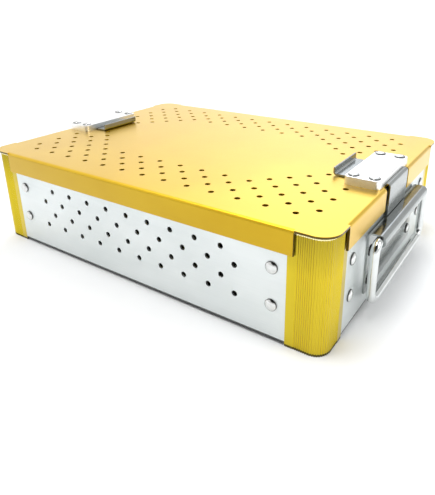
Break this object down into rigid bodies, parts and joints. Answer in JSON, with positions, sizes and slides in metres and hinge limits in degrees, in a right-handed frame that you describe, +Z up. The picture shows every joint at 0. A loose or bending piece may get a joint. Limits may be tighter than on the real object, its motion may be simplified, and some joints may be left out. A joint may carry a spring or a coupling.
{
  "type": "sterilization tray",
  "caption": "Perforated sheet-metal tray with ribbed corner posts, a lift-off lid with sliding end latches, and hinged drop handles on both ends.",
  "frame": {"origin": "centre of the footprint, on the plane that the tray stands on", "axes": "+X along the tray towards the right-hand handle, +Y across it towards the back, +Z up"},
  "size_m": [0.3234, 0.222, 0.0852],
  "materials": {
    "bare_aluminium": "brushed and clear anodised",
    "gold_anodised": "satin gold anodised",
    "block_metal": "satin",
    "polished_steel": "polished",
    "rivet_metal": "bright"
  },
  "bodies": {
    "base": {"base_pan": "bare_aluminium", "corner_post_front_left": "gold_anodised", "corner_post_front_right": "gold_anodised", "corner_post_back_left": "gold_anodised", "corner_post_back_right": "gold_anodised", "post_rivets_front_left": "rivet_metal", "post_rivets_front_right": "rivet_metal", "post_rivets_back_left": "rivet_metal", "post_rivets_back_right": "rivet_metal", "handle_bracket_left": "polished_steel", "handle_bracket_right": "polished_steel", "handle_rivets_left": "rivet_metal", "handle_rivets_right": "rivet_metal"},
    "lid": {"lid_sheet": "gold_anodised", "latch_block_left": "block_metal", "latch_block_right": "block_metal", "latch_rivets_left": "rivet_metal", "latch_rivets_right": "rivet_metal"},
    "latch_left": {"latch_slide_left": "polished_steel"},
    "latch_right": {"latch_slide_right": "polished_steel"},
    "bail_left": {"handle_bail_left": "polished_steel"},
    "bail_right": {"handle_bail_right": "polished_steel"}
  },
  "joints": [
    {"name": "lid_lift", "type": "slide", "parent": "base", "child": "lid", "axis": [0, 0, 1], "range_m": [0, 0.09]},
    {"name": "latch_slide_left", "type": "slide", "parent": "lid", "child": "latch_left", "axis": [-1, 0, 0], "range_m": [-0.0013, 0.008]},
    {"name": "latch_slide_right", "type": "slide", "parent": "lid", "child": "latch_right", "axis": [1, 0, 0], "range_m": [-0.0013, 0.008]},
    {"name": "bail_swing_left", "type": "hinge", "parent": "base", "child": "bail_left", "pos_m": [-0.1575, 0, 0.0525], "axis": [0, 1, 0], "range_deg": [-4, 180]},
    {"name": "bail_swing_right", "type": "hinge", "parent": "base", "child": "bail_right", "pos_m": [0.1575, 0, 0.0525], "axis": [0, -1, 0], "range_deg": [-4, 180]}
  ]
}
